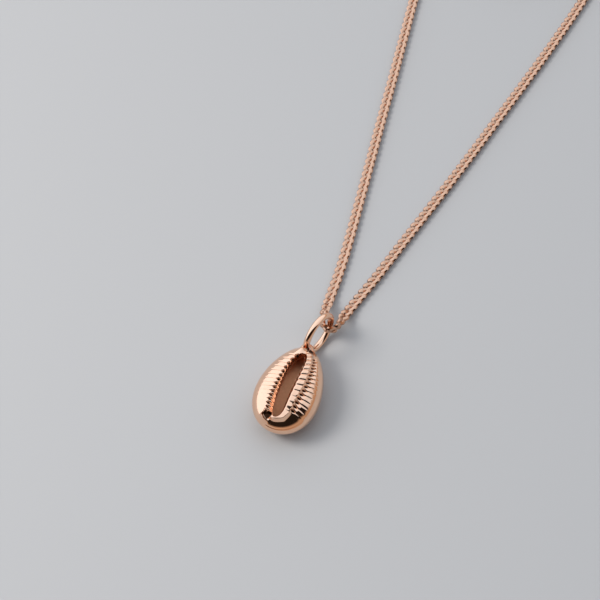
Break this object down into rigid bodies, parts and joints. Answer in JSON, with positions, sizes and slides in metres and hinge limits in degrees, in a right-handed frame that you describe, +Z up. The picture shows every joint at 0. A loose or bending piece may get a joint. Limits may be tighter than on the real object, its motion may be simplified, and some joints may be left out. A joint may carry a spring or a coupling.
{
  "type": "cowrie shell pendant necklace",
  "caption": "Rose-gold cowrie shell pendant with a toothed slot, hung from a round wire ring on a fine curb chain that closes with a lobster clasp and an end ring.",
  "frame": {"origin": "on the table, under the middle of the box round the shell and its bail ring", "axes": "+Y along the shell's long axis towards the bail ring and the chain, +Z up out of the shell's slotted face"},
  "size_m": [0.0259, 0.1044, 0.0066],
  "materials": {
    "polished_gold": "high polish, rose-gold plated",
    "ring_gold": "polished wire and castings, rose-gold plated",
    "chain_gold": "polished links with flat-cut faces, rose-gold plated"
  },
  "bodies": {
    "necklace": {"bail_ring": "ring_gold", "chain_run": "chain_gold", "chain_coil": "chain_gold", "clasp_body": "ring_gold", "clasp_rivet": "ring_gold", "clasp_jump_ring": "ring_gold", "end_ring": "ring_gold"},
    "pendant": {"shell": "polished_gold"},
    "lever": {"clasp_lever": "ring_gold"}
  },
  "joints": [
    {"name": "shell_swing", "type": "hinge", "parent": "necklace", "child": "pendant", "pos_m": [-0.00028, 0.0036, 0.003], "axis": [0, 0, 1], "range_deg": [-35, 35]},
    {"name": "clasp_trigger", "type": "hinge", "parent": "necklace", "child": "lever", "pos_m": [0.00245, 0.0864, 0.00075], "axis": [0, 0, 1], "range_deg": [-22, 0], "stiffness_Nm_per_rad": 0.00002, "springref_deg": 11.46}
  ]
}
